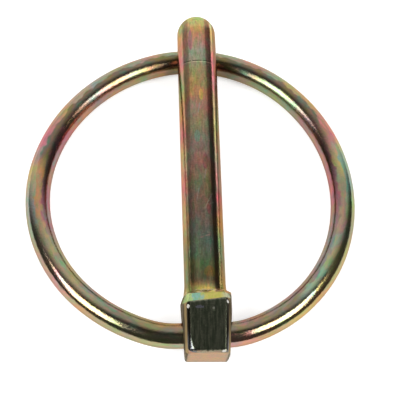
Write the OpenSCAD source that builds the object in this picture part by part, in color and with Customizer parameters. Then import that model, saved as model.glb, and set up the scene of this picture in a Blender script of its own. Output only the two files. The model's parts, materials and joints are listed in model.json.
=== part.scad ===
// Lynch pin: a one-piece forged pin and the sprung wire ring that is hinged in its head.
// The part lies at rest: the ring is closed beneath the shank, and the tip points along +Y.

/* [Shank] */
// Diameter of the round shank
shank_d = 6; // [5:0.1:8]
// Length from the head's shoulder to the end of the tip
shank_len = 44.25; // [35:0.05:60]
// Distance from the end of the tip back to the faint line where the tip is drawn down
tip_line = 8.7; // [8:0.1:12]
// How much thinner the tip is than the shank, in diameter
tip_draw = 0.08; // [0.04:0.01:0.3]
// How much the shank's radius grows at its root, where it runs into the head
root_flare = 0.15; // [0.05:0.05:0.3]
// Height of the flared root above the shoulder
root_len = 0.6; // [0.4:0.1:1.2]

/* [Head] */
// How far the head stands out past the shank on the left, at its widest
left_proud = 0.7; // [0.6:0.05:2]
// How far the head stands out past the shank on the right, at its widest
right_proud = 0.85; // [0.6:0.05:2]
// How far its front and back faces stand out past the shank
face_proud = 0.5; // [0.3:0.05:1.5]
// How far each side comes in, from the head's widest place to its free end
side_taper = 0.62; // [0.1:0.02:0.8]
// How far the left side slopes in, from the parting plane to the front or back face
left_draft = 0.65; // [0.6:0.05:1.2]
// How far the right side slopes in, from the parting plane to the front or back face
right_draft = 0.9; // [0.6:0.05:1.2]
// Thickness of the head between its bore and its free end
end_wall = 1.2; // [0.8:0.1:2]
// Thickness of the head between its bore and the top of its shoulder
shoulder_wall = 3.95; // [3.5:0.05:6]
// How far below its top the shoulder starts on the front and back faces
face_drop = 1.45; // [1:0.05:3]
// How far below its top the shoulder starts on the left side
left_drop = 1.4; // [0.6:0.1:2.5]
// How far below its top the shoulder starts on the right side, where the forging is fuller
right_drop = 0.3; // [0.2:0.1:2.5]
// How far the shoulder's front and back slopes run out of square with the shank, in degrees
shoulder_skew = 5; // [0:0.5:6]
// How far the free end runs out of square with the shank, the other way, in degrees
end_skew = 1.2; // [0:0.1:4]
// How far the free end leans, its lower edge standing out, in degrees
end_lean = 3; // [0:0.5:5]
// How far in from the shank's side the shoulder's left corners are cut off, at the top
left_corner = 0.8; // [0.3:0.05:1.5]
// How far in from the shank's side the shoulder's right corners are cut off, at the top
right_corner = 0.75; // [0.3:0.05:1.5]
// Radius of the forging's edges
edge_r = 0.4; // [0.2:0.05:0.7]

/* [Ring] */
// Diameter of the ring's wire
wire_d = 3.65; // [3:0.05:4]
// How much thinner the wire is where it is bent more tightly, in radius
bend_thin = 0.02; // [0.01:0.005:0.03]
// Distance from the ring's far side back from the end of the tip, to the middle of the wire
ring_to_tip = 4.85; // [4:0.1:8]
// Centreline radius of the two bends that turn the wire's ends into the head
end_bend_r = 4; // [3:0.1:8]
// Difference between the radii of the ring's tight and flat arcs, which alternate
lobe = 2.9; // [0.5:0.1:4]
// How far the arcs are turned from lying evenly about the shank, in degrees
lobe_turn = 14; // [0:1:20]
// Gap between the wire's two ends, inside the head
end_gap = 1.2; // [0.4:0.1:2.5]

/* [Fit] */
// Radial clearance between the wire and its bore
bore_clear = 0.08; // [0.02:0.01:0.1]
// Clearance between the head's side and the nearer end bend
bend_clear = 0.25; // [0.1:0.05:0.6]
// How far the ring can slide either way along its bore
side_play = 0.85; // [0.3:0.05:1.5]
// Gap between the closed ring and the shank
closed_gap = 0.1; // [0.05:0.01:0.3]

/* [Hidden] */
$fn = 64;
zinc_yellow = [0.60, 0.54, 0.32];
corner_steps = 4;
// Which way a cut shoulder corner faces: turned up from its side, and tilted towards the face
left_turn = 22;
right_turn = 35;
corner_tilt = 27;
lobes = 3;
arc_span = 180 / lobes;
// How far the thinner stretches of wire run into their neighbours
run_in = 0.05;

shank_r = shank_d / 2;
wire_r = wire_d / 2;
bore_r = wire_r + bore_clear;
left_half = shank_r + left_proud;
right_half = shank_r + right_proud;
head_depth = shank_d + 2 * face_proud;
bore_to_end = bore_r + end_wall;
bore_to_shoulder = bore_r + shoulder_wall;
tip_r = shank_r - tip_draw / 2;
tip_y = bore_to_shoulder + shank_len;
line_y = tip_y - tip_line;

// The free end leans about its middle, so its lower edge stands out by end_rise.
end_rise = head_depth / 2 * tan(end_lean);

// The right side of the head tapers evenly, so its half width at the bore follows from its ends.
taper_to_bore = bore_to_shoulder - right_drop;
right_half_at_bore = right_half - side_taper * taper_to_bore / (taper_to_bore + bore_to_end);

// The wire runs straight for foot_half either side of the ring's foot, and the ring has slid left
// until the right bend is bend_clear from the head.
foot_half = right_half_at_bore + bend_clear + side_play;
foot_x = -side_play;

// The ring reaches from the bore to just short of the tip. Both the flat arc at its foot and the
// tight arc opposite have their centre at foot_centre, which fixes every radius.
ring_reach = tip_y - ring_to_tip;
reach_past_bends = ring_reach - 2 * end_bend_r + lobe;
bend_to_centre = (reach_past_bends ^ 2 + foot_half ^ 2) / (2 * reach_past_bends);
flat_r = bend_to_centre + end_bend_r;
tight_r = flat_r - lobe;
foot_centre = [foot_x, end_bend_r + sqrt(bend_to_centre ^ 2 - foot_half ^ 2)];
bend_angle = asin(foot_half / bend_to_centre);

// The arcs' centres are the corners of a triangle whose sides are as long as the radii differ.
tight_mid = 90 - lobe_turn;
function heading(angle) = [cos(angle), sin(angle)];
lobe_offset = lobe / sqrt(3);
ring_middle = foot_centre - lobe_offset * heading(tight_mid);

// Closed, the ring's far side lies against the shank.
bend_wire_r = wire_r - bend_thin;
close_angle = asin((shank_r + bend_wire_r + closed_gap) / ring_reach);

// The part rests on the lower edge of the head's free end and on the ring's far side.
end_edge_x = right_half - right_draft - edge_r;
end_edge_z = edge_r - head_depth / 2;
end_edge_y = edge_r / cos(end_lean) - bore_to_end + end_edge_z * tan(end_lean);
end_edge = [end_edge_y - end_edge_x * tan(end_skew), end_edge_z];
far_side = [ring_reach * cos(close_angle), -ring_reach * sin(close_angle)];
rest_span = far_side - end_edge;
rest_tilt = asin((bend_wire_r - edge_r) / norm(rest_span)) - atan2(rest_span[1], rest_span[0]);
bore_height = edge_r - end_edge[0] * sin(rest_tilt) - end_edge[1] * cos(rest_tilt);

// Middle of the part's box, seen from above.
left_centre = ring_middle + lobe_offset * heading(tight_mid + 2 * arc_span);
mid_x = left_centre[0] + lobe / 2;
front_y = end_edge[0] * cos(rest_tilt) + end_edge[1] * sin(rest_tilt) - edge_r;
back_y = (tip_y - tip_r) * cos(rest_tilt) + tip_r;
mid_y = (front_y + back_y) / 2;

// Direction of the edge that leaves corner i of an outline.
function edge_angle(p, i) =
    let (a = p[i % len(p)], b = p[(i + 1) % len(p)]) atan2(b[1] - a[1], b[0] - a[0]);

// Points along the rounded corner i of a convex outline that runs anticlockwise.
function corner(p, i, r) =
    let (from = edge_angle(p, i + len(p) - 1),
         turn = (edge_angle(p, i) - from + 360) % 360,
         centre = p[i] + r / cos(turn / 2) * heading(from + turn / 2 + 90))
    [for (step = [0:corner_steps])
        centre + r * heading(from + turn * step / corner_steps - 90)];

// A convex outline with every corner rounded.
module soft_outline(p, r) {
    polygon([for (i = [0:len(p) - 1]) each corner(p, i, r)]);
}

// Outline of the head from the front, with its taper and its uneven shoulders.
module front_outline() {
    neck_half = shank_r + root_flare;
    left_end = left_half - side_taper;
    right_end = right_half - side_taper;
    lowest = -bore_to_end - end_rise;
    soft_outline([
        [-left_end, lowest + left_end * tan(end_skew)],
        [right_end, lowest - right_end * tan(end_skew)],
        [right_half, bore_to_shoulder - right_drop],
        [neck_half, bore_to_shoulder],
        [-neck_half, bore_to_shoulder],
        [-left_half, bore_to_shoulder - left_drop],
    ], edge_r);
}

// Outline of the shoulder from the side, with the slopes from the faces up to the shank.
module shoulder_outline() {
    soft_outline([
        [-head_depth / 2, -2 * bore_to_end],
        [head_depth / 2, -2 * bore_to_end],
        [head_depth / 2, bore_to_shoulder - face_drop],
        [shank_r, bore_to_shoulder],
        [-shank_r, bore_to_shoulder],
        [-head_depth / 2, bore_to_shoulder - face_drop],
    ], edge_r);
}

// Outline of the leaning free end from the side.
module free_end_outline() {
    soft_outline([
        [-head_depth / 2, -bore_to_end - end_rise],
        [head_depth / 2, -bore_to_end + end_rise],
        [head_depth / 2, 2 * bore_to_shoulder],
        [-head_depth / 2, 2 * bore_to_shoulder],
    ], edge_r);
}

// Outline of the head from its free end: both sides draft away from the parting plane.
module end_outline() {
    soft_outline([
        [left_draft - left_half, -head_depth / 2],
        [right_half - right_draft, -head_depth / 2],
        [right_half, 0],
        [right_half - right_draft, head_depth / 2],
        [left_draft - left_half, head_depth / 2],
        [-left_half, 0],
    ], edge_r);
}

// All that lies inside the planes that cut off the shoulder's right corners, front and back.
module inside_corners(inset, turn) {
    size = 4 * head_depth;
    intersection_for (face = [0, 1]) {
        mirror([0, 0, face]) translate([shank_r - inset, bore_to_shoulder, shank_r])
            rotate([0, -corner_tilt, turn]) translate([-size, -size / 2, -size / 2]) cube(size);
    }
}

module head() {
    reach = 4 * bore_to_shoulder;
    intersection() {
        linear_extrude(reach, center = true) front_outline();
        rotate([0, -90, shoulder_skew]) linear_extrude(reach, center = true) shoulder_outline();
        rotate([0, -90, -end_skew]) linear_extrude(reach, center = true) free_end_outline();
        rotate([90, 0, 0]) linear_extrude(reach, center = true) end_outline();
        inside_corners(right_corner, right_turn);
        mirror([1, 0, 0]) inside_corners(left_corner, left_turn);
    }
}

// The shank is round: flared root, straight length, drawn-down tip and domed end.
module shank() {
    rotate([-90, 0, 0]) {
        cylinder(h = line_y, r = shank_r);
        translate([0, 0, bore_to_shoulder - root_len])
            cylinder(h = 2 * root_len, r1 = shank_r + root_flare, r2 = shank_r);
        translate([0, 0, line_y]) cylinder(h = tip_y - tip_r - line_y, r1 = shank_r, r2 = tip_r);
        translate([0, 0, tip_y - tip_r]) sphere(tip_r);
    }
}

module bore() {
    rotate([0, 90, 0]) cylinder(h = 4 * right_half, r = bore_r, center = true);
}

// A stretch of the wire bent in the XY plane, from one angle round its centre to another.
module wire_bend(centre, r, from, to) {
    translate(centre) rotate([0, 0, from]) rotate_extrude(angle = to - from)
        translate([r, 0]) circle(wire_r);
}

// A tighter stretch, thinned by its bending. It runs into its neighbours at both ends.
module tight_bend(centre, r, from, to) {
    extra = asin(run_in / r);
    translate(centre) rotate([0, 0, from - extra]) rotate_extrude(angle = to - from + 2 * extra)
        translate([r, 0]) circle(bend_wire_r);
}

// One end of the wire: the straight end in the bore, its bend, and the flat arc at the foot
// as far as the first tight arc. It is drawn on the right, about the foot's middle.
module wire_end(bore_end, flat_to) {
    translate([bore_end, 0, 0]) rotate([0, 90, 0]) cylinder(h = foot_half - bore_end, r = wire_r);
    tight_bend([foot_half, end_bend_r], end_bend_r, -90, bend_angle - 90);
    wire_bend([0, foot_centre[1]], flat_r, bend_angle - 90, flat_to - 90);
}

// Arc i of the ring, counted anticlockwise from the first one past the foot on the right.
function arc_mid(i) = tight_mid + arc_span * (i - lobes + 1);
function arc_r(i) = i % 2 == 0 ? tight_r : flat_r;
function arc_centre(i) = ring_middle + (i % 2 == 0 ? 1 : -1) * lobe_offset * heading(arc_mid(i));

// The open ring, flat in the XY plane with its ends on the X axis.
module flat_ring() {
    flat_half = arc_span / 2;
    translate([foot_x, 0, 0]) {
        wire_end(end_gap / 2 - foot_x, flat_half - lobe_turn);
        mirror([1, 0, 0]) wire_end(end_gap / 2 + foot_x, flat_half + lobe_turn);
    }
    for (i = [0:2 * lobes - 2]) {
        start = arc_mid(i) - flat_half;
        if (i % 2 == 0) tight_bend(arc_centre(i), arc_r(i), start, start + arc_span);
        else wire_bend(arc_centre(i), arc_r(i), start, start + arc_span);
    }
}

// Turns a piece from the bore's frame to how the part lies, with its lowest point at Z = 0.
module at_rest() {
    translate([-mid_x, -mid_y, bore_height]) rotate([rest_tilt, 0, 0]) children();
}

module pin() {
    color(zinc_yellow) at_rest() difference() {
        union() {
            head();
            shank();
        }
        bore();
    }
}

module ring() {
    color(zinc_yellow) at_rest() rotate([-close_angle, 0, 0]) flat_ring();
}

pin();
ring();
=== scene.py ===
"""Looks of a lynch pin: a one-piece forged pin, and the sprung wire ring hinged in its head."""

import json
import math

import bmesh
import bpy
import numpy as np
from mathutils import Matrix, Vector


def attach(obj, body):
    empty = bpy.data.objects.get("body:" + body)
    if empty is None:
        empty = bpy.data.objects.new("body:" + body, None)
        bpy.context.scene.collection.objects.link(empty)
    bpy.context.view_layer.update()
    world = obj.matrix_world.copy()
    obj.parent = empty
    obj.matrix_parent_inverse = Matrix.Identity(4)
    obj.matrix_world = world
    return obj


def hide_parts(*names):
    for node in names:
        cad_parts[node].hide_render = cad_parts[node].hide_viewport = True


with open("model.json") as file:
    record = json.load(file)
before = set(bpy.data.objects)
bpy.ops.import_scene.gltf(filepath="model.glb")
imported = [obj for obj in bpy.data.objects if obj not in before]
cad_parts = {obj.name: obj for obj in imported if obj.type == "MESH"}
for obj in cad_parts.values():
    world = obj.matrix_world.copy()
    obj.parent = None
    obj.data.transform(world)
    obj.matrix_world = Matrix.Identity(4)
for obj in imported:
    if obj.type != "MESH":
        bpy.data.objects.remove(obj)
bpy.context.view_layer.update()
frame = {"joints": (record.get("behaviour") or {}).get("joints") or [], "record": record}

MM = 0.001

# ---------------------------------------------------------------- places from the frame

hinge_joint = frame["joints"][0]
shank_mount = frame["record"]["mounts"][0]
HINGE = Vector(hinge_joint["pos_m"])
SHANK_AXIS = Vector(shank_mount["axis"])
SHANK_R = shank_mount["dims"]["r_mm"]
REST_TILT = math.atan2(SHANK_AXIS.z, SHANK_AXIS.y)
# The hinge turns the ring from one side of the shank to the other, so what is left of a full turn
# is twice the angle between the closed ring and the shank.
CLOSE_ANGLE = math.radians(360 - hinge_joint["range_deg"][1]) / 2
PIN_PLACE = Matrix.Translation(HINGE) @ Matrix.Rotation(REST_TILT, 4, "X")
RING_PLACE = Matrix.Translation(HINGE) @ Matrix.Rotation(REST_TILT - CLOSE_ANGLE, 4, "X")

# ---------------------------------------------------------------- sizes, in mm from the bore's axis

# The shank points along y. It is drawn down from a faint line to a domed tip.
TIP_Y = 50.105
TIP_R = 2.96
DOME_Y = TIP_Y - TIP_R
LINE_Y = 41.4
LINE_DEPTH = 0.03
LINE_WIDTH = 0.07
ROOT_R = 0.1
ROOT_FLARE = 0.15
ROOT_LEN = 1.7

# The head, from its free end to its shoulder. Its faces slope off before the shoulder.
HEAD_DEPTH_HALF = 3.5
HEAD_END_Y = -3.105
SHOULDER_Y = 5.855
FACE_DROP = 1.45
SHOULDER_SKEW = math.tan(math.radians(5.3))
END_SKEW = math.tan(math.radians(1.2))
END_LEAN = math.tan(math.radians(3))
FLAT_BLEND = 0.06
BORE_R = 1.905
MOUTH_R = 2.1
MOUTH_DEPTH = 0.4

# The front edges are worn round, the left one most, and most of all at the free end.
EDGE_R = 0.36
LEFT_END_WEAR = 0.4
RIGHT_EDGE_SHARPER = 0.04

# Corners and edges cut off the head: a place on each cut, the way it faces, and its blend.
LEFT_CORNER = {"place": (-2.2, 5.855, 3.0), "facing": (-0.82, 0.325, 0.47), "blend": 0.12}
RIGHT_CORNER = {"place": (2.57, 5.39, 3.05), "facing": (0.769, 0.396, 0.501), "blend": 0.2}
LEFT_BEVEL = {"place": (-2.9, 0, 3.03), "facing": (-0.82, 0, 0.57), "blend": 0.08}
RIGHT_BEVEL = {"place": (2.9, 2.3, 3.4), "facing": (0.89, -0.052, 0.45), "blend": 0.06}

# The two sides of the head: half widths, where along the head they change, and their drafts.
LEFT_SIDE = {
    "end_half": 3.27, "half": 3.66, "widest_y": 4.4, "shoulder_y": 4.45, "neck_y": 5.83,
    "front_draft_at_end": -0.1, "front_draft_at_shoulder": 0.5, "back_draft": 0.22,
}
RIGHT_SIDE = {
    "end_half": 3.22, "half": 3.77, "widest_y": 3.2, "shoulder_y": 6.0, "neck_y": 6.15,
    "front_draft_at_end": 0.28, "front_draft_at_shoulder": 0.5, "back_draft": 0.06,
}

# Dents where the head was knocked, as balls of radius r sunk into it, and how bright a painted glint each
# carries.
NICKS = [
    {"x": -2.82, "y": 3.55, "z": 3.4, "r": 0.3, "bright": 1.0},
    {"x": 3.15, "y": 4.15, "z": 3.64, "r": 0.42, "bright": 1.0},
    {"x": 0.88, "y": 3.2, "z": 3.62, "r": 0.18, "bright": 0.25},
    {"x": -1.7, "y": -3.1, "z": 3.95, "r": 0.6, "bright": 1.0},
    {"x": 2.1, "y": -3.1, "z": 3.68, "r": 0.42, "bright": 1.0},
]

# The ring lies in x and y too, with its ends in the bore and its far side up the y axis.
WIRE_R = 1.815
TIGHT_R = 21.43
LOBE = 2.9
LOBE_TURN = 14.0
END_BEND_R = 13.0
FOOT_HALF = 3.39
FOOT_X = -0.85
END_GAP = 1.2
UNEVENNESS = 0.015
# How far along the wire, from its end in the bore, its first colours start.
FIRST_BEND = 3.1


# ---------------------------------------------------------------- node trees


class Value:
    """A node's output. Arithmetic on it adds Math nodes to its tree."""

    def __init__(self, graph, socket):
        self.graph = graph
        self.socket = socket

    def math(self, operation, *others):
        inputs = dict(enumerate((self,) + others))
        return self.graph.node("ShaderNodeMath", inputs, operation=operation)

    def __add__(self, other):
        return self.math("ADD", other)

    def __radd__(self, other):
        return self.math("ADD", other)

    def __sub__(self, other):
        return self.math("SUBTRACT", other)

    def __rsub__(self, other):
        return (self * -1).math("ADD", other)

    def __mul__(self, other):
        return self.math("MULTIPLY", other)

    def __rmul__(self, other):
        return self.math("MULTIPLY", other)

    def __truediv__(self, other):
        return self.math("DIVIDE", other)

    def clamp(self, low=0.0, high=1.0):
        return self.math("MAXIMUM", low).math("MINIMUM", high)

    def ramp(self, low, high):
        """0 below low, 1 above high, and a smooth step between them."""
        inputs = {0: self, 1: low, 2: high, 3: 0.0, 4: 1.0}
        return self.graph.node("ShaderNodeMapRange", inputs, interpolation_type="SMOOTHSTEP")

    def unsigned(self):
        """The value without its sign."""
        return self.math("ABSOLUTE")


class Graph:
    """Adds nodes to one tree, shader or geometry."""

    def __init__(self, tree):
        self.tree = tree

    def node(self, kind, inputs=None, out=0, stops=None, **settings):
        """Adds a node with its settings and its sockets' values or links, and returns one output."""
        node = self.tree.nodes.new(kind)
        for name, value in settings.items():
            setattr(node, name, value)
        if stops:
            ramp = node.color_ramp
            while len(ramp.elements) < len(stops):
                ramp.elements.new(1.0)
            for element, (place, colour) in zip(ramp.elements, stops):
                element.position = place
                element.color = (*colour, 1.0)
        for name, value in (inputs or {}).items():
            if isinstance(value, Value):
                self.tree.links.new(value.socket, node.inputs[name])
            else:
                node.inputs[name].default_value = value
        if not node.outputs:
            return node
        return Value(self, node.outputs[out])

    def vector(self, x=0.0, y=0.0, z=0.0):
        return self.node("ShaderNodeCombineXYZ", {0: x, 1: y, 2: z})

    def mix(self, factor, first, second, blend="MIX"):
        """Colour that goes from the first to the second as the factor goes from 0 to 1."""
        first, second = ((*c, 1.0) if isinstance(c, tuple) else c for c in (first, second))
        inputs = {0: factor, 6: first, 7: second}
        return self.node("ShaderNodeMix", inputs, out=2, data_type="RGBA", blend_type=blend)

    def noise(self, place, scale, detail=2.0, **inputs):
        inputs = {"Vector": place, "Scale": scale, "Detail": detail, **inputs}
        return self.node("ShaderNodeTexNoise", inputs, noise_dimensions="3D")


# ---------------------------------------------------------------- the ring


def ring_inputs(tree, graph):
    """Gives the ring's tree its named sizes, and returns them as values by name."""
    sizes = {
        "Wire Radius": WIRE_R,
        "Tight Radius": TIGHT_R,
        "Lobe": LOBE,
        "Lobe Turn": LOBE_TURN,
        "End Bend Radius": END_BEND_R,
        "Foot Half Width": FOOT_HALF,
        "Foot Shift": FOOT_X,
        "End Gap": END_GAP,
        "Unevenness": UNEVENNESS,
    }
    for name, size in sizes.items():
        socket = tree.interface.new_socket(name, in_out="INPUT", socket_type="NodeSocketFloat")
        socket.default_value = size
    for name, count in {"Points Along": 1500, "Points Around": 28}.items():
        socket = tree.interface.new_socket(name, in_out="INPUT", socket_type="NodeSocketInt")
        socket.default_value = count
    tree.interface.new_socket("Material", in_out="INPUT", socket_type="NodeSocketMaterial")
    group = tree.nodes.new("NodeGroupInput")
    return {socket.name: Value(graph, socket) for socket in group.outputs if socket.name}


def wire_path(graph, given):
    """Places of the points along the wire, from one end to the other, and the ring's middle.

    A point's place follows from the direction its side of the ring faces, in degrees. The ring is
    six arcs of 60 degrees, tight and flat by turns, whose centres are the corners of a triangle.
    At the foot a tighter bend takes over, and past it the wire runs straight into the bore.
    """

    def cos(angle):
        return angle.math("RADIANS").math("COSINE")

    def sin(angle):
        return angle.math("RADIANS").math("SINE")

    tight_r = given["Tight Radius"]
    lobe = given["Lobe"]
    bend_r = given["End Bend Radius"]
    foot_half = given["Foot Half Width"]
    foot_x = given["Foot Shift"]
    flat_r = tight_r + lobe
    centre_offset = lobe / math.sqrt(3)
    tight_mid = 90 - given["Lobe Turn"]

    bend_to_centre = flat_r - bend_r
    bend_angle = (foot_half / bend_to_centre).math("ARCSINE").math("DEGREES")
    foot_centre_y = bend_r + (bend_to_centre * bend_to_centre - foot_half * foot_half).math("SQRT")
    middle_x = foot_x - centre_offset * cos(tight_mid)
    middle_y = foot_centre_y - centre_offset * sin(tight_mid)

    # The straight ends take their share of the points as if they were degrees too.
    wire_per_degree = 0.4
    half_gap = given["End Gap"] / 2
    first = -90 - (foot_x + foot_half - half_gap) / wire_per_degree
    last = 270 + (foot_half - foot_x - half_gap) / wire_per_degree
    index = graph.node("GeometryNodeInputIndex")
    along = first + (last - first) * index / (given["Points Along"] - 1)
    facing = along.clamp(-90.0, 270.0)

    sector = ((facing - tight_mid + 30) / 60).math("FLOOR")
    is_flat = sector.math("FLOORED_MODULO", 2.0)
    sector_mid = tight_mid + sector * 60
    reach = centre_offset * (1 - is_flat * 2)
    radius = tight_r + lobe * is_flat
    arc_x = middle_x + reach * cos(sector_mid) + radius * cos(facing)
    arc_y = middle_y + reach * sin(sector_mid) + radius * sin(facing)

    side = (90 - facing).math("SIGN")
    bend_x = foot_x + side * foot_half + bend_r * cos(facing) + (along - facing) * wire_per_degree
    bend_y = bend_r + bend_r * sin(facing)
    in_bend = (facing - 90).unsigned().math("GREATER_THAN", 180 - bend_angle)
    place_x = arc_x + (bend_x - arc_x) * in_bend
    place_y = arc_y + (bend_y - arc_y) * in_bend
    return graph.vector(place_x, place_y), graph.vector(middle_x, middle_y)


def store(graph, geometry, name, value):
    """Keeps a value for each point under a name that the material can read."""
    inputs = {"Geometry": geometry, "Name": name, "Value": value}
    return graph.node("GeometryNodeStoreNamedAttribute", inputs, data_type="FLOAT", domain="POINT")


def store_facing(graph, wire, middle):
    """Stores how far each point of the surface faces out of the ring and up, for its colours, its painted
    shade inside and its painted dark reflection along the crest.
    """
    normal = graph.node("GeometryNodeInputNormal")
    place = graph.node("GeometryNodeInputPosition")
    from_middle = graph.node("ShaderNodeVectorMath", {0: place, 1: middle}, operation="SUBTRACT")
    level = {0: from_middle, 1: (1.0, 1.0, 0.0)}
    from_middle = graph.node("ShaderNodeVectorMath", level, operation="MULTIPLY")
    outwards = graph.node("ShaderNodeVectorMath", {0: from_middle}, operation="NORMALIZE")
    both = {0: normal, 1: outwards}
    facing_out = graph.node("ShaderNodeVectorMath", both, out="Value", operation="DOT_PRODUCT")
    facing_up = graph.node("ShaderNodeSeparateXYZ", {0: normal}, out="Z")
    wire = store(graph, wire, "out", facing_out)
    return store(graph, wire, "up", facing_up)


def make_uneven(graph, wire, unevenness):
    """Drawn wire is never quite true: its surface wanders by a few thousandths of a millimetre."""
    normal = graph.node("GeometryNodeInputNormal")
    wander = graph.node("ShaderNodeTexNoise", {"Scale": 0.3, "Detail": 1.0}, noise_dimensions="3D")
    by = {0: normal, "Scale": (wander - 0.5) * unevenness}
    shift = graph.node("ShaderNodeVectorMath", by, operation="SCALE")
    return graph.node("GeometryNodeSetPosition", {"Geometry": wire, "Offset": shift})


def ring_tree():
    """Geometry Nodes that sweep the wire along its whole path, and store what its colours follow."""
    tree = bpy.data.node_groups.new("wire_ring", "GeometryNodeTree")
    graph = Graph(tree)
    tree.interface.new_socket("Geometry", in_out="OUTPUT", socket_type="NodeSocketGeometry")
    given = ring_inputs(tree, graph)
    places, middle = wire_path(graph, given)

    line = graph.node("GeometryNodeMeshLine", {"Count": given["Points Along"]})
    placed = graph.node("GeometryNodeSetPosition", {"Geometry": line, "Position": places})
    curve = graph.node("GeometryNodeMeshToCurve", {"Mesh": placed})
    curve = store(graph, curve, "along", graph.node("GeometryNodeSplineParameter", out="Length"))
    circle = {"Resolution": given["Points Around"], "Radius": given["Wire Radius"]}
    profile = graph.node("GeometryNodeCurvePrimitiveCircle", circle)
    swept = {"Curve": curve, "Profile Curve": profile, "Fill Caps": True}
    wire = graph.node("GeometryNodeCurveToMesh", swept)
    wire = store_facing(graph, wire, middle)
    wire = make_uneven(graph, wire, given["Unevenness"])
    wire = graph.node("GeometryNodeSetShadeSmooth", {"Geometry": wire})
    wire = graph.node("GeometryNodeRealizeInstances", {"Geometry": wire})
    wire = graph.node("GeometryNodeSetMaterial", {"Geometry": wire, "Material": given["Material"]})
    graph.node("NodeGroupOutput", {"Geometry": wire})
    return tree


def evaluated_copy(obj, name):
    """A plain mesh object with what the object's modifiers make of it."""
    view = bpy.context.evaluated_depsgraph_get()
    mesh = bpy.data.meshes.new_from_object(obj.evaluated_get(view))
    mesh.name = name
    made = bpy.data.objects.new(name, mesh)
    bpy.context.scene.collection.objects.link(made)
    return made


def make_ring(material):
    """The ring as one mesh, from a throwaway object that carries the node tree."""
    carrier = bpy.data.objects.new("ring_carrier", bpy.data.meshes.new("ring_carrier"))
    bpy.context.scene.collection.objects.link(carrier)
    sweep = carrier.modifiers.new("sweep", "NODES")
    sweep.node_group = ring_tree()
    for item in sweep.node_group.interface.items_tree:
        if item.name == "Material":
            sweep[item.identifier] = material
    ring = evaluated_copy(carrier, "wire_ring")
    bpy.data.objects.remove(carrier)
    ring.data.transform(RING_PLACE @ Matrix.Scale(MM, 4))
    ring.data.shade_smooth()
    return ring


# ---------------------------------------------------------------- the forged pin


def ease(value, start, end):
    """0 before start, 1 after end, smooth between them."""
    part = np.clip((value - start) / (end - start), 0, 1)
    return part * part * (3 - 2 * part)


def soft_max(a, b, blend):
    """The larger of two depths, eased over the given distance where they are nearly equal."""
    near = np.clip(blend - np.abs(a - b), 0, None)
    return np.maximum(a, b) + near * near / (4 * blend)


def rounded_meet(radius, *depths):
    """Depth of the solid inside all the given surfaces, with its edges rounded."""
    total = sum(np.clip(depth + radius, 0, None) ** 2 for depth in depths)
    return np.sqrt(total) - radius


def slope(x, y, start, end):
    """Depth beyond the straight line from start to end, whose inside is on its left."""
    run = np.subtract(end, start)
    run = run / np.hypot(*run)
    return (x - start[0]) * run[1] - (y - start[1]) * run[0]


def side_depth(out, y, z, side):
    """One side of the head. Out is measured towards that side.

    Its parting ridge runs from its half width at the free end to the one at the shoulder, and it
    drafts away from the ridge towards the front and the back.
    """
    ridge_blend = 0.1
    shoulder_blend = 0.08
    up = (y - HEAD_END_Y) / (SHOULDER_Y - HEAD_END_Y)
    front_draft = side["front_draft_at_end"] * (1 - up) + side["front_draft_at_shoulder"] * up
    draft = np.where(z > 0, z * front_draft, -z * side["back_draft"]) / HEAD_DEPTH_HALF
    wall = slope(out + draft, y, (side["end_half"], HEAD_END_Y), (side["half"], side["widest_y"]))
    wall = soft_max(wall, out + draft - side["half"], ridge_blend)
    shoulder = slope(out, y, (side["half"], side["shoulder_y"]), (SHANK_R, side["neck_y"]))
    return soft_max(wall, shoulder, shoulder_blend)


def cut_off(x, y, z, cut):
    """Depth beyond the plane of a cut."""
    place = cut["place"]
    facing = np.array(cut["facing"]) / np.linalg.norm(cut["facing"])
    return (x - place[0]) * facing[0] + (y - place[1]) * facing[1] + (z - place[2]) * facing[2]


def head_surfaces(x, y, z):
    """Depths beyond the head's sides, its front and back faces, and its end and shoulder."""
    depth = np.abs(z)
    side = np.maximum(side_depth(-x, y, z, LEFT_SIDE), side_depth(x, y, z, RIGHT_SIDE))
    skewed_y = y - x * SHOULDER_SKEW
    slope_start = (HEAD_DEPTH_HALF, SHOULDER_Y - FACE_DROP)
    face_slope = slope(depth, skewed_y, slope_start, (SHANK_R, SHOULDER_Y))
    face = soft_max(depth - HEAD_DEPTH_HALF, face_slope, FLAT_BLEND)
    end = HEAD_END_Y - y - x * END_SKEW + z * END_LEAN
    ends = np.maximum(end, skewed_y - SHOULDER_Y)
    return side, face, ends


def head_edge_r(x, y, z):
    """Radius of the edge nearest a place on the head."""
    front = ease(z, 0.5, 2.5)
    front_left = ease(-x, 0.5, 2.5) * front
    front_right = ease(x, 0.5, 2.5) * front
    return EDGE_R + LEFT_END_WEAR * ease(-y, 0.8, 3.0) * front_left - RIGHT_EDGE_SHARPER * front_right


def head_depth(x, y, z):
    """Negative inside the forged block head, zero on its surface."""
    side, face, ends = head_surfaces(x, y, z)
    for bevel in (LEFT_BEVEL, RIGHT_BEVEL):
        side = soft_max(side, cut_off(x, y, z, bevel), bevel["blend"])
    block = rounded_meet(head_edge_r(x, y, z), side, face, ends)
    for nick in NICKS:
        from_middle = np.hypot(np.hypot(x - nick["x"], y - nick["y"]), z - nick["z"])
        block = np.maximum(block, nick["r"] - from_middle)
    # A small countersink breaks the edge of each mouth of the bore.
    countersink = np.clip(MOUTH_R - np.hypot(y, z), 0, MOUTH_DEPTH)
    block = np.maximum(block, side + countersink)
    for corner in (LEFT_CORNER, RIGHT_CORNER):
        block = soft_max(block, cut_off(x, y, np.abs(z), corner), corner["blend"])
    return block


def edge_wear(points):
    """1 on the head's edges and 0 away from them."""
    x, y, z = points
    side, face, ends = head_surfaces(x, y, z)
    nearest_two = np.sort(np.stack([side, face, ends]), axis=0)[1]
    return ease(nearest_two, -0.35, -0.1) * (y < SHOULDER_Y + 0.2)


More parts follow.
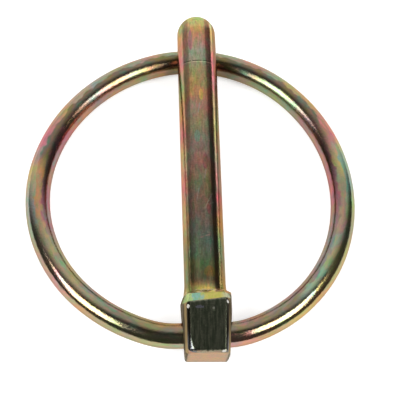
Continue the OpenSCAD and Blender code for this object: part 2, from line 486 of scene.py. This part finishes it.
def shank_depth(x, y, z):
    """Negative inside the round shank with its drawn-down tip and domed end."""
    radius = np.hypot(x, z)
    drawn = np.clip((y - LINE_Y) / (DOME_Y - LINE_Y), 0, 1)
    root = ROOT_FLARE * np.clip((SHOULDER_Y + ROOT_LEN - y) / ROOT_LEN, 0, 1) ** 2
    wall = radius - (SHANK_R + (TIP_R - SHANK_R) * drawn + root)
    # The line shows on the front only.
    groove = LINE_DEPTH * np.exp(-(((y - LINE_Y) / LINE_WIDTH) ** 2)) * np.clip(z / SHANK_R, 0, 1)
    dome = np.sqrt(x * x + z * z + (y - DOME_Y) ** 2) - TIP_R
    inside_head = -y
    return np.maximum(np.where(y > DOME_Y, dome, wall + groove), inside_head)


def pin_depth(points):
    """Negative inside the whole pin, with a small fillet where the shank leaves the head."""
    x, y, z = points
    head = head_depth(x, y, z)
    shank = shank_depth(x, y, z)
    near = np.clip(ROOT_R - np.abs(head - shank), 0, None)
    return np.minimum(head, shank) - near * near / (4 * ROOT_R)


def cast(origins, directions, reach):
    """Where rays that start inside the pin come out of it, by halving the interval."""
    low = np.zeros(origins.shape[1])
    high = np.full(origins.shape[1], float(reach))
    for _ in range(30):
        middle = (low + high) / 2
        outside = pin_depth(origins + directions * middle) > 0
        high = np.where(outside, middle, high)
        low = np.where(outside, low, middle)
    return origins + directions * low


def pin_rays(turns):
    """Origins and directions of the rays that find the pin's surface, level by level from the free end."""
    levels = []
    # Fans from a point in the head find the free end, closer together at its edge.
    end_fan_y = -1.2
    end_edge = 56
    end_fan = np.concatenate([np.linspace(2, end_edge, 14)[:-1], np.linspace(end_edge, 90, 34)[:-1]])
    for angle in np.radians(end_fan):
        levels.append((end_fan_y, math.sin(angle), -math.cos(angle)))
    # Rays across the head and shank slant upwards at the shoulder, which is nearly square to the shank.
    stretches = [
        (end_fan_y, 3.5, 24), (3.5, 7.5, 64), (7.5, LINE_Y - 0.5, 84),
        (LINE_Y - 0.5, LINE_Y + 0.5, 20), (LINE_Y + 0.5, DOME_Y, 14),
    ]
    heights = np.concatenate([np.linspace(*stretch)[:-1] for stretch in stretches])
    slant = 0.9 * ease(heights, 2.5, 5.5) * (1 - ease(heights, 7.0, 10.0))
    for height, lean in zip(heights, slant):
        length = math.hypot(1, lean)
        levels.append((height - SHANK_R * lean, 1 / length, lean / length))
    for angle in np.radians(np.linspace(90, 2, 30)):
        levels.append((DOME_Y, math.sin(angle), math.cos(angle)))
    angles = np.linspace(0, 2 * math.pi, turns, endpoint=False)
    start_y, out, up = np.array(levels).T
    shape = (len(levels), turns)
    origins = np.zeros((3,) + shape)
    origins[1] = start_y[:, None]
    directions = np.stack([
        out[:, None] * np.cos(angles),
        np.broadcast_to(up[:, None], shape),
        out[:, None] * np.sin(angles),
    ])
    return origins.reshape(3, -1), directions.reshape(3, -1), len(levels)


def make_pin(material):
    """The pin as one mesh: rings of points on its surface, closed at both ends, then bored."""
    turns = 192
    # Longer than any ray's way to the surface.
    reach = 7.0
    origins, directions, levels = pin_rays(turns)
    points = cast(origins, directions, reach).T
    end_pole = cast(np.array([[0.0], [0.0], [0.0]]), np.array([[0.0], [-1.0], [0.0]]), reach).T
    tip_pole = np.array([[0.0, TIP_Y, 0.0]])
    verts = np.concatenate([points, end_pole, tip_pole])
    first_pole = levels * turns
    ring = np.arange(turns)
    following = (ring + 1) % turns
    faces = []
    for level in range(levels - 1):
        low = level * turns
        high = low + turns
        faces += np.stack([low + ring, high + ring, high + following, low + following], 1).tolist()
    last = (levels - 1) * turns
    faces += [(first_pole, int(a), int(b)) for a, b in zip(ring, following)]
    faces += [(first_pole + 1, int(last + b), int(last + a)) for a, b in zip(ring, following)]
    mesh = bpy.data.meshes.new("forged_pin")
    mesh.from_pydata(verts.tolist(), [], faces)
    mesh.materials.append(material)
    pin = bpy.data.objects.new("forged_pin", mesh)
    bpy.context.scene.collection.objects.link(pin)
    drill(pin)
    pin.data.transform(PIN_PLACE @ Matrix.Scale(MM, 4))
    return pin


def drill(pin):
    """Bores the head for the ring."""
    cutter_mesh = bpy.data.meshes.new("cutter")
    shape = bmesh.new()
    bmesh.ops.create_cone(
        shape, cap_ends=True, segments=96, radius1=BORE_R, radius2=BORE_R, depth=16,
        matrix=Matrix.Rotation(math.pi / 2, 4, "Y"),
    )
    shape.to_mesh(cutter_mesh)
    shape.free()
    cutter = bpy.data.objects.new("cutter", cutter_mesh)
    bpy.context.scene.collection.objects.link(cutter)
    cut = pin.modifiers.new("bore", "BOOLEAN")
    cut.operation = "DIFFERENCE"
    cut.solver = "EXACT"
    cut.object = cutter
    view = bpy.context.evaluated_depsgraph_get()
    bored = bpy.data.meshes.new_from_object(pin.evaluated_get(view))
    pin.modifiers.clear()
    clean_cut(bored)
    pin.data = bored
    pin.data.name = "forged_pin"
    mark_wear(bored)
    bpy.data.objects.remove(cutter)
    pin.data.shade_smooth()
    pin.data.set_sharp_from_angle(angle=math.radians(50))


def clean_cut(mesh):
    """Mends what the cut leaves round the mouths: doubled corners, and many-sided and flat faces."""
    shape = bmesh.new()
    shape.from_mesh(mesh)
    bmesh.ops.remove_doubles(shape, verts=shape.verts, dist=1e-6)
    bmesh.ops.triangulate(shape, faces=[face for face in shape.faces if len(face.verts) > 4])
    bmesh.ops.dissolve_degenerate(shape, dist=1e-7, edges=shape.edges)
    shape.to_mesh(mesh)
    shape.free()


def mark_wear(mesh):
    """Stores how worn each point is, for the material to read."""
    places = np.empty(len(mesh.vertices) * 3)
    mesh.vertices.foreach_get("co", places)
    worn = mesh.attributes.new("wear", "FLOAT", "POINT")
    worn.data.foreach_set("value", edge_wear(places.reshape(-1, 3).T))


# ---------------------------------------------------------------- finishes

# Colours of the film on the zinc.
OLIVE = (0.27, 0.25, 0.14)
GOLD = (0.42, 0.32, 0.12)
ORANGE = (0.46, 0.24, 0.10)
ROSE = (0.43, 0.19, 0.17)
MAUVE = (0.31, 0.19, 0.18)
SLATE = (0.24, 0.27, 0.24)
TEAL = (0.18, 0.33, 0.27)
GREEN = (0.23, 0.34, 0.14)
LIME = (0.38, 0.38, 0.14)
BROWN = (0.28, 0.17, 0.10)
PINK = (0.52, 0.12, 0.17)
# The three darkest colours below stand for painted dark reflection along the ring's crest; moss also
# darkens the inside of the ring's far side.
BRONZE = (0.13, 0.14, 0.085)
CREST_REFLECTION_BLACK = (0.08, 0.085, 0.05)
MOSS = (0.05, 0.085, 0.028)
# The film's thickness sets its colour, so neighbouring colours follow each other in this order.
FILM_ORDER = [OLIVE, GOLD, ORANGE, ROSE, MAUVE, TEAL, GREEN, OLIVE]

# Colours of the pin's own layers, and of the shade, highlights, glints and reflections painted on it.
ROOT_GREEN = (0.17, 0.27, 0.08)
ROOT_YELLOW = (0.64, 0.52, 0.08)
ROOT_BROWN = (0.24, 0.16, 0.05)
SCRATCHED = (0.46, 0.42, 0.34)
END_KHAKI = (0.33, 0.29, 0.18)
END_RUST = (0.35, 0.24, 0.175)
END_RIM = (0.2, 0.22, 0.17)
SIDE_DARK = (0.06, 0.048, 0.026)
SIDE_PALE = (0.13, 0.104, 0.064)
PAINTED_EDGE_HIGHLIGHT = (0.32, 0.23, 0.11)
EDGE_GREY = (0.12, 0.125, 0.13)
EDGE_SHADE_BLACK = (0.04, 0.034, 0.024)
SHOULDER_TEAL = (0.22, 0.38, 0.33)
SHOULDER_YELLOW = (0.45, 0.39, 0.11)
SHOULDER_GREEN = (0.36, 0.45, 0.22)
SHOULDER_PAINTED_REFLECTION = (0.44, 0.46, 0.34)
FACE_DARK = (0.1, 0.12, 0.075)
FACE_PALE = (0.2, 0.21, 0.145)
SMUDGE = (0.3, 0.3, 0.34)
WORN_EDGE_AND_HIGHLIGHT = (0.46, 0.36, 0.22)
WORN_END = (0.27, 0.3, 0.22)
WORN_THROUGH = (0.3, 0.27, 0.19)
PAINTED_GLINT = (0.62, 0.6, 0.55)

# Where each film colour is strongest, in mm along the piece.
RING_OUTER_FILM = [
    (0, ROSE), (4, ORANGE), (9, GOLD), (13, ORANGE), (17, GOLD), (24, OLIVE), (28, GREEN), (32, TEAL),
    (36, TEAL), (38, LIME), (40, PINK), (45, ORANGE), (50, GOLD), (53, OLIVE), (57, ROSE), (61, OLIVE),
    (70, OLIVE), (73, ROSE), (78, OLIVE), (83, SLATE), (89, ORANGE), (94, PINK), (97, ROSE),
    (100, GOLD), (105, SLATE), (110, OLIVE), (117, ROSE), (121, ORANGE), (126, OLIVE), (133, OLIVE),
]
# Along the crest, the darkest stretches are painted dark reflection, not film.
RING_CREST_FILM_AND_DARK_REFLECTION = [
    (0, BRONZE), (10, BRONZE), (13, TEAL), (18, GREEN), (24, MAUVE), (31, OLIVE), (35, LIME), (39, ROSE),
    (43, CREST_REFLECTION_BLACK), (56, CREST_REFLECTION_BLACK), (60, MOSS), (71, MOSS), (75, BRONZE), (77, CREST_REFLECTION_BLACK), (96, CREST_REFLECTION_BLACK), (100, ORANGE),
    (105, ORANGE), (110, OLIVE), (122, OLIVE), (127, BRONZE), (134, BRONZE),
]
RING_INNER_FILM = [
    (0, GREEN), (2, ROSE), (5, ORANGE), (7, SLATE), (12, MAUVE), (19, SLATE), (25, MAUVE), (31, PINK),
    (37, ROSE), (44, MAUVE), (49, GREEN), (54, GREEN), (57, OLIVE), (60, MOSS), (70, MOSS),
    (73, ORANGE), (75, GREEN), (79, ORANGE), (84, MAUVE), (87, ORANGE), (92, PINK), (99, MAUVE),
    (106, PINK), (111, SLATE), (116, LIME), (121, MAUVE), (124, OLIVE), (126, ROSE), (129, GREEN),
    (133, ORANGE),
]
SHANK_LEFT_FILM = [
    (6, GREEN), (11, GREEN), (14, GOLD), (18, ORANGE), (22, PINK), (27, GOLD), (30, PINK), (34, ORANGE),
    (37, GREEN), (40, ROSE), (42, PINK), (46, ORANGE), (49, GREEN),
]
SHANK_FRONT_FILM = [
    (6, GOLD), (7, ORANGE), (8, OLIVE), (10, GREEN), (12, TEAL), (15, SLATE), (19, MAUVE), (22, OLIVE),
    (25, ROSE), (28, MAUVE), (31, OLIVE), (34, ROSE), (37, ORANGE), (40, OLIVE), (43, SLATE), (45, ROSE),
    (47, ORANGE), (49, GREEN),
]
SHANK_RIGHT_FILM = [
    (7, GOLD), (11, OLIVE), (14, GREEN), (16, ORANGE), (20, PINK), (25, MAUVE), (31, GOLD), (35, OLIVE),
    (38, PINK), (42, PINK), (45, ORANGE), (47, GOLD), (49, TEAL),
]

# Stains on the front of the shank: x, y, half width, half length and colour.
SHANK_STAINS = [
    (-0.55, 29.2, 0.45, 1.0, (0.24, 0.42, 0.3)),
    (0.25, 35.9, 0.33, 0.9, (0.85, 0.56, 0.12)),
    (0.5, 25.2, 0.45, 1.3, (0.36, 0.15, 0.15)),
    (0.6, 8.6, 0.8, 0.8, (0.5, 0.38, 0.1)),
    (-1.1, 45.0, 0.3, 1.8, (0.44, 0.2, 0.24)),
    (0.8, 18.2, 0.35, 1.2, (0.4, 0.17, 0.16)),
]

# Bright scratches on the front of the shank: from x, y to x, y.
SCRATCHES = [
    (-0.5, 13.6, 0.7, 14.0), (0.2, 18.0, 1.3, 20.2), (0.9, 18.6, 1.4, 18.9), (0.75, 11.2, 0.8, 12.0),
    (-0.9, 19.4, -0.6, 21.0), (0.3, 22.6, 0.55, 23.9), (-0.3, 33.0, -0.05, 34.4),
]

# The stretch of wire on the ring's far side, which is a little rougher, in mm along the wire.
FAR_START = 43
FAR_END = 94


def film(graph, place, colours):
    """Colour at a place in mm from the colours listed along the piece."""
    length = colours[-1][0]
    stops = [(at / length, colour) for at, colour in colours]
    return graph.node("ShaderNodeValToRGB", {0: place / length}, stops=stops)


def shade(graph, colour, by):
    """The colour times a red, green and blue."""
    return graph.mix(1.0, colour, by, "MULTIPLY")


def attribute(graph, name):
    return graph.node("ShaderNodeAttribute", out="Fac", attribute_name=name)


def new_material(name):
    material = bpy.data.materials.new(name)
    material.use_nodes = True
    material.node_tree.nodes.clear()
    return material, Graph(material.node_tree)


def weather(graph, colour, spot, stretch):
    """Breaks a film's colour up as on a rack-plated part, in mottles drawn out along the piece."""
    drift = graph.noise(spot, 0.6, 4.0)
    order = [(k / (len(FILM_ORDER) - 1), c) for k, c in enumerate(FILM_ORDER)]
    drifting = graph.node("ShaderNodeValToRGB", {0: (drift - 0.5) * 1.8 + 0.45}, stops=order)
    colour = graph.mix(0.3, colour, drifting)
    drawn_out = graph.node("ShaderNodeVectorMath", {0: spot, 1: stretch}, operation="MULTIPLY")
    fleck = graph.noise(drawn_out, 2.2, 4.0)
    flecks = [(0.36, (0.72, 1.06, 0.78)), (0.5, (1.0, 1.0, 1.0)), (0.64, (1.3, 0.96, 0.98))]
    flecked = graph.node("ShaderNodeValToRGB", {0: fleck}, stops=flecks)
    return graph.mix(0.6, colour, flecked, "MULTIPLY")


def plated_metal(graph, colour, roughness, height, deep, dull=None):
    """The shader itself, which turns from plated metal to a matt layer where dull is 1: scale on the
    head's sides, the worn low front, and painted glints in the nicks.

    Height is in parts of the given depth in mm.
    """
    normal = graph.node("ShaderNodeBump", {"Strength": 1.0, "Distance": deep * MM, "Height": height})
    shader = graph.node(
        "ShaderNodeBsdfPrincipled",
        {
            "Base Color": colour, "Metallic": 1.0, "Roughness": roughness, "Normal": normal,
            "Specular Tint": (0.75, 0.6, 0.5, 1.0),
        },
    )
    if dull:
        matt_layer = graph.node(
            "ShaderNodeBsdfPrincipled",
            {"Base Color": colour, "Roughness": 0.8, "Specular IOR Level": 0.1, "Normal": normal},
        )
        shader = graph.node("ShaderNodeMixShader", {0: dull, 1: shader, 2: matt_layer})
    graph.node("ShaderNodeOutputMaterial", {"Surface": shader})


def ring_film(graph, along, out, up, spot):
    """The wire's colours: one run outside the ring, one inside it darkened as painted shade, and one along
    its upward-facing crest whose dark stretches are painted dark reflection.
    """
    place = along - FIRST_BEND + (graph.noise(spot, 0.5, 3.0) - 0.5) * 5
    side = out + (graph.noise(spot, 1.1, 2.0) - 0.5) * 0.9
    # The inside is darkened as painted shade, for the shaded floor it reflects.
    inner = shade(graph, film(graph, place, RING_INNER_FILM), (0.6, 0.69, 0.75))
    outer = shade(graph, film(graph, place, RING_OUTER_FILM), (0.88, 1.05, 1.1))
    colour = graph.mix(side.ramp(-0.25, 0.25), inner, outer)
    # The crest's dark stretches are painted dark reflection.
    crest = (0.4 - (side + 0.1).unsigned()).ramp(0.0, 0.2) * up.ramp(0.0, 0.5)
    colour = graph.mix(crest, colour, film(graph, place, RING_CREST_FILM_AND_DARK_REFLECTION))
    return shade(graph, weather(graph, colour, spot, (0.6, 1.0, 1.0)), (0.98, 1.07, 1.08))


def ring_plate():
    """Drawn spring wire, plated. Its colours run along the wire and differ from side to side, with painted
    shade inside and painted dark reflection along the crest.
    """
    material, graph = new_material("ring_plate")
    along, out, up = (attribute(graph, name) for name in ("along", "out", "up"))
    across = (out * WIRE_R, up * WIRE_R)
    colour = ring_film(graph, along, out, up, graph.vector(along * 0.55, *across))
    drawn_lines = graph.noise(graph.vector(along * 0.12, *across), 7.0, 2.0)
    grain = graph.noise(graph.vector(along, *across), 4.5, 3.0)
    far_side = (along - FAR_START).ramp(0, 4) * (FAR_END - along).ramp(0, 4)
    roughness = 0.1 + grain * 0.1 + drawn_lines.ramp(0.5, 0.75) * 0.05 + far_side * 0.06
    grain_depth = 0.02
    plated_metal(graph, colour, roughness, grain * 0.7 + drawn_lines * 0.3, grain_depth)
    return material


class PinSurface:
    """What the pin's layers read: the place in mm from the bore's axis, noises and parts of the head."""

    def __init__(self, graph):
        from_bore = PIN_PLACE.inverted()
        self.place = graph.node(
            "ShaderNodeMapping",
            {
                "Vector": graph.node("ShaderNodeTexCoord", out="Object"),
                "Location": from_bore.translation / MM,
                "Rotation": from_bore.to_euler(),
                "Scale": (1 / MM, 1 / MM, 1 / MM),
            },
        )
        self.x, self.y, self.z = (
            graph.node("ShaderNodeSeparateXYZ", {0: self.place}, out=axis) for axis in "XYZ"
        )
        self.spot = graph.vector(self.x, self.y * 0.55, self.z)
        self.sway = graph.noise(self.spot, 0.5, 3.0) - 0.5
        self.side = self.x + (graph.noise(self.spot, 1.1, 2.0) - 0.5) * 1.2
        self.in_head = (5.7 - self.y + self.sway * 0.2).ramp(0.0, 0.3)
        self.on_side = self.in_head * self.x.unsigned().ramp(2.7, 2.95)
        self.on_end = (-2.75 - self.y + self.sway * 0.2).ramp(0.0, 0.25)
        self.slope_start = SHOULDER_Y - FACE_DROP + self.x * SHOULDER_SKEW

    def streaks(self, graph, squeeze, scale, detail):
        """Noise that is drawn out along the pin."""
        return graph.noise(graph.vector(self.x, self.y * squeeze, self.z), scale, detail)

    def off_oval(self, x, y, half_width, half_length):
        """0 in the middle of an oval, 1 at its edge and more outside it."""
        across = ((self.x - x) / half_width).math("POWER", 2.0)
        return across + ((self.y - y) / half_length).math("POWER", 2.0)


def shank_film(graph, at):
    """The film on the shank: one run of colours along its front, and one along either side, darkened on
    the sides as painted shade and with a painted highlight line on the right.
    """
    along = at.y + at.sway * 3
    front = shade(graph, film(graph, along, SHANK_FRONT_FILM), (1.1, 1.27, 1.07))
    front = graph.mix(at.y.ramp(20, 30), front, shade(graph, front, (1.22, 1.22, 1.22)))
    # The right side is darkened as painted shade, most of all past 2.2 mm out, and carries a line of
    # painted highlight at 2.05 mm.
    right = shade(graph, film(graph, along, SHANK_RIGHT_FILM), (0.7, 0.8, 0.68))
    highlight_line_x = 2.05
    off_highlight_line = (at.x - highlight_line_x).unsigned().ramp(0.1, 0.28)
    right = graph.mix(off_highlight_line, shade(graph, right, (2.6, 2.6, 2.6)), right)
    right = graph.mix(at.x.ramp(2.2, 2.5), right, shade(graph, right, (0.62, 0.6, 0.55)))
    # The left side is darkened a little as painted shade, and much more near the head.
    left = shade(graph, film(graph, along, SHANK_LEFT_FILM), (0.85, 1.0, 0.85))
    left = graph.mix(at.y.ramp(12, 18), shade(graph, left, (0.48, 0.5, 0.5)), left)
    colour = graph.mix(at.side.ramp(1.5, 2.3), front, right)
    return graph.mix((at.side * -1).ramp(1.7, 2.5), colour, left)


def shank_stains(graph, at, colour):
    for x, y, half_width, half_length, stain in SHANK_STAINS:
        off_stain = at.off_oval(x, y, half_width, half_length)
        stained = (1.2 - off_stain + at.sway * 1.5).ramp(0.0, 0.5) * at.z.ramp(0.5, 1.0)
        colour = graph.mix(stained, colour, stain)
    return colour


def root_reflection_band(graph, at, colour):
    """A band round the shank's root, painted as the reflection of the head's shoulder: green at the left,
    yellow in the middle, brown at the right.
    """
    on_root = (6.9 - at.y + at.sway * 2).ramp(0.0, 0.9) * at.z.ramp(0.5, 1.5)
    band = graph.mix((at.side + 1.3).ramp(-0.4, 0.4), ROOT_GREEN, ROOT_YELLOW)
    band = graph.mix((at.side - 1.2).ramp(-0.3, 0.3), band, ROOT_BROWN)
    return graph.mix(on_root, colour, band)


def dark_lines(graph, at, colour):
    """A dark line down each side of the front, the right one near black close to the head."""
    right_x = 1.55
    left_x = -1.85
    far = at.y.ramp(24, 36)
    line_x = at.x + at.sway * 0.25
    right_line = 1 - ((line_x - right_x).unsigned() / (far * 0.15 + 0.36)).ramp(0.55, 1.0)
    left_line = 1 - ((line_x - left_x).unsigned() / (far * 0.25 + 0.28)).ramp(0.5, 1.0)
    near_black = graph.mix(far, (0.22, 0.24, 0.17), (0.55, 0.33, 0.35))
    colour = graph.mix(right_line, colour, shade(graph, colour, near_black))
    faint = left_line * (far * 0.7 + 0.3)
    return graph.mix(faint, colour, shade(graph, colour, (0.52, 0.45, 0.45)))


def head_ground(graph, at, colour):
    return graph.mix(at.in_head, colour, BROWN)


def fine_streaks(graph, at, colour):
    drawn_out = graph.vector(at.x * 1.6, at.y * 0.35, at.z * 1.6)
    fine = graph.noise(drawn_out, 2.4, 5.0, Roughness=0.7)
    tint = graph.mix(fine.ramp(0.3, 0.7), (0.72, 0.74, 0.72), (1.28, 1.26, 1.3))
    return shade(graph, colour, tint)


def scratches(graph, at, colour):
    for from_x, from_y, to_x, to_y in SCRATCHES:
        long_x = to_x - from_x
        long_y = to_y - from_y
        reached = (at.x - from_x) * long_x + (at.y - from_y) * long_y
        part = (reached / (long_x ** 2 + long_y ** 2)).clamp()
        off_x = at.x - from_x - part * long_x
        off_y = at.y - from_y - part * long_y
        away = (off_x * off_x + off_y * off_y).math("SQRT")
        on_scratch = (0.14 - away + at.sway * 0.15).ramp(0.0, 0.1) * at.z.ramp(1.5, 2.0)
        colour = graph.mix(on_scratch, colour, SCRATCHED)
    return colour


def free_end(graph, at, colour):
    """The head's free end, with a darker rim."""
    on_sides = at.x.unsigned().ramp(2.3, 2.75)
    at_back = (at.z * -1).ramp(2.1, 2.6)
    at_front = at.z.ramp(2.7, 3.1)
    rim = on_sides.math("MAXIMUM", at_back).math("MAXIMUM", at_front)
    end = graph.mix((at.sway + 0.1) * 4, END_KHAKI, END_RUST)
    return graph.mix(at.on_end, colour, graph.mix(rim, end, END_RIM))


def head_sides(graph, at, colour):
    """The head's two sides, dark and streaked, with a line of painted highlight beside each front edge."""
    streaks = at.streaks(graph, 0.12, 4.0, 2.0).ramp(0.35, 0.65)
    colour = graph.mix(at.on_side, colour, graph.mix(streaks, SIDE_DARK, SIDE_PALE))
    out = at.x.unsigned()
    # A beige line of painted highlight, where the rounding beside each front edge reflects the floor.
    edge_highlight = at.in_head * out.ramp(2.72, 2.85) * (3.25 - out + at.sway * 0.3).ramp(0.0, 0.15)
    return graph.mix(edge_highlight * at.z.ramp(2.0, 2.4), colour, PAINTED_EDGE_HIGHLIGHT)


def front_edges(graph, at, colour):
    """The head's rounded front edges: grey at the free end, and black further up, as painted shade that
    dims the lamps' reflection there.
    """
    on_edge = at.in_head * at.x.unsigned().ramp(1.5, 1.8) * at.z.ramp(2.95, 3.1)
    return graph.mix(on_edge, colour, graph.mix(at.y.ramp(-2.2, 0.5), EDGE_GREY, EDGE_SHADE_BLACK))


def sloped_shoulder(graph, at, colour):
    """The slope from the head's front to the shank, in mottled patches, with a painted reflection of the
    bright back towards its right corner.
    """
    on_shoulder = at.in_head * (at.y - at.slope_start).ramp(0.0, 0.15) * at.z.ramp(1.5, 2.5)
    patches = graph.noise(at.spot, 0.9, 2.0) + (graph.noise(at.spot, 2.6, 3.0) - 0.5) * 1.2
    across = at.side + patches
    patched = graph.mix(across.ramp(-0.6, 0.2), SHOULDER_TEAL, SHOULDER_YELLOW)
    patched = graph.mix(across.ramp(-1.3, -1.8), patched, SHOULDER_GREEN)
    # Towards the right corner the slope is painted pale, as a reflection of the bright back.
    patched = graph.mix(at.side.ramp(2.0, 2.6), patched, SHOULDER_PAINTED_REFLECTION)
    mottle = graph.noise(at.spot, 2.5, 3.0).ramp(0.35, 0.65)
    patched = graph.mix(mottle * 0.6, patched, shade(graph, patched, (0.75, 0.95, 0.6)))
    return graph.mix(on_shoulder, colour, patched)


def front_face(graph, at, colour):
    """The head's flat front, dark and streaked, with a ragged smudge at its left near the shoulder."""
    on_face = at.z.ramp(3.4, 3.48) * (at.slope_start - at.y).ramp(-0.06, 0.0) * at.in_head
    streaks = at.streaks(graph, 0.15, 3.5, 3.0)
    face = graph.mix(streaks.ramp(0.35, 0.65), FACE_DARK, FACE_PALE)
    ragged = (graph.noise(at.spot, 2.6, 3.0) - 0.5) * 5
    smudged = (1.1 - at.off_oval(-1.15, 3.45, 0.65, 0.25) + ragged).ramp(0.0, 0.6)
    return graph.mix(on_face, colour, graph.mix(smudged, face, SMUDGE))


def nick_glints(graph, at, colour, dull):
    """Painted glints in the head's nicks: a pale matt colour standing in for the lamps' reflections."""
    for nick in NICKS:
        off = (at.x - nick["x"], at.y - nick["y"], at.z - nick["z"])
        from_middle = sum(part.math("POWER", 2.0) for part in off).math("SQRT")
        inside = (nick["r"] + 0.06 - from_middle).ramp(0.0, 0.04) * nick["bright"]
        # Pale colour painted in the nick as a glint.
        colour = graph.mix(inside, colour, PAINTED_GLINT)
        dull = dull.math("MAXIMUM", inside * 0.9)
    return colour, dull


def pin_plate():
    """The forging's plating: darker than the wire's, over a skin that is a little rougher."""
    material, graph = new_material("pin_plate")
    at = PinSurface(graph)
    colour = shank_film(graph, at)
    for layer in (shank_stains, root_reflection_band, dark_lines, head_ground, fine_streaks, scratches, free_end):
        colour = layer(graph, at, colour)
    colour = weather(graph, colour, at.spot, (1.0, 0.7, 1.0))
    for layer in (head_sides, front_edges, sloped_shoulder, front_face):
        colour = layer(graph, at, colour)

    grain = graph.noise(at.place, 3.5, 3.0)
    wear = attribute(graph, "wear")
    # Edges are paler where the film is worn thin; along the head's front edges this pale colour also
    # serves as painted highlight.
    worn = wear * grain.ramp(0.35, 0.6) * (1 - at.on_side * 0.25)
    colour = graph.mix(worn * 0.8, colour, graph.mix(at.on_end, WORN_EDGE_AND_HIGHLIGHT, WORN_END))
    low_front = wear * (-1.6 - at.y).ramp(0.0, 0.8) * at.z.ramp(2.5, 3.2)
    worn_through = low_front * grain.ramp(0.2, 0.6) * 0.8
    colour = graph.mix(worn_through, colour, WORN_THROUGH)
    dull = (at.on_side * 0.8).math("MAXIMUM", worn_through)
    colour, dull = nick_glints(graph, at, colour, dull)

    roughness = 0.13 + grain * 0.12 + worn * 0.08 + low_front * 0.2
    height = grain * 0.7 + at.streaks(graph, 0.12, 5.0, 2.0) * 0.3
    grain_depth = 0.014
    plated_metal(graph, colour, roughness, height, grain_depth, dull)
    return material


def floor_paper():
    """Pale paper, which also glows to the camera and in reflections, so that it shows as white."""
    material, graph = new_material("floor_paper")
    paper = graph.node("ShaderNodeBsdfDiffuse", {"Color": (0.8, 0.8, 0.8, 1.0)})
    glow = graph.node("ShaderNodeEmission", {"Color": (1.0, 1.0, 1.0, 1.0), "Strength": 0.55})
    lit = graph.node("ShaderNodeAddShader", {0: paper, 1: glow})
    seen = graph.node("ShaderNodeLightPath", out="Is Camera Ray")
    for kind in ("Is Glossy Ray", "Is Transmission Ray"):
        seen = seen + graph.node("ShaderNodeLightPath", out=kind)
    shader = graph.node("ShaderNodeMixShader", {0: seen.clamp(), 1: paper, 2: lit})
    graph.node("ShaderNodeOutputMaterial", {"Surface": shader})
    return material


# ---------------------------------------------------------------- the studio


def make_floor():
    mesh = bpy.data.meshes.new("floor")
    half = 3.0
    corners = [(-half, -half, 0), (half, -half, 0), (half, half, 0), (-half, half, 0)]
    mesh.from_pydata(corners, [], [(0, 1, 2, 3)])
    mesh.materials.append(floor_paper())
    floor = bpy.data.objects.new("floor", mesh)
    bpy.context.scene.collection.objects.link(floor)


def make_world():
    """A dim room with a pale back wall, which reaches round less far at the right than at the left."""
    world = bpy.data.worlds.new("studio")
    bpy.context.scene.world = world
    world.use_nodes = True
    world.node_tree.nodes.clear()
    graph = Graph(world.node_tree)
    direction = graph.node("ShaderNodeTexCoord", out="Generated")
    x, y = (graph.node("ShaderNodeSeparateXYZ", {0: direction}, out=axis) for axis in "XY")
    right = (x - 0.3).clamp()
    left = (x * -1 - 0.3).clamp()
    towards_back = y - right * right * 0.8 - left * left * 0.3
    wall = 1.1
    room = 0.08
    glow = towards_back.ramp(0.08, 0.6) * wall + room
    background = graph.node("ShaderNodeBackground", {"Color": (1.0, 1.0, 1.0, 1.0), "Strength": glow})
    graph.node("ShaderNodeOutputWorld", {"Surface": background})


def make_softbox(name, towards, width, height, turn):
    """A lamp that faces the part from a direction. Its power follows from its brightness."""
    distance = 0.6
    radiance = 9.0
    light = bpy.data.lights.new(name, "AREA")
    light.shape = "RECTANGLE"
    light.size = width
    light.size_y = height
    light.energy = radiance * math.pi * width * height
    lamp = bpy.data.objects.new(name, light)
    direction = Vector(towards).normalized()
    lamp.location = direction * distance
    facing = direction.to_track_quat("Z", "Y").to_matrix() @ Matrix.Rotation(math.radians(turn), 3, "Z")
    lamp.rotation_euler = facing.to_euler()
    lamp.visible_camera = False
    bpy.context.scene.collection.objects.link(lamp)


def make_lights():
    make_softbox("softbox_left", (-0.61, -0.3, 0.74), width=0.245, height=0.34, turn=36)
    make_softbox("softbox_right", (0.518, -0.322, 0.79), width=0.23, height=0.34, turn=-35)


def make_camera():
    """Looks down on the part, from a little to the left of its head."""
    aim = Vector((1.13, -3.10, 5.0)) * MM
    distance = 147.7 * MM
    azimuth = math.radians(-9.655)
    elevation = math.radians(67.68)
    roll = math.radians(8.14)
    level = math.cos(elevation)
    away = Vector((math.sin(azimuth) * level, -math.cos(azimuth) * level, math.sin(elevation)))
    data = bpy.data.cameras.new("camera")
    data.lens = 90
    data.sensor_width = 36
    data.clip_start = 0.005
    camera = bpy.data.objects.new("camera", data)
    turn = away.to_track_quat("Z", "Y").to_matrix().to_4x4()
    camera.matrix_world = Matrix.Translation(aim + away * distance) @ turn @ Matrix.Rotation(roll, 4, "Z")
    bpy.context.scene.collection.objects.link(camera)
    bpy.context.scene.camera = camera


bpy.context.scene.view_settings.view_transform = "Standard"
make_camera()
make_floor()
make_world()
make_lights()

ring = make_ring(ring_plate())
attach(ring, "ring")
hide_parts("ring")

pin = make_pin(pin_plate())
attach(pin, "pin")
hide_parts("pin")
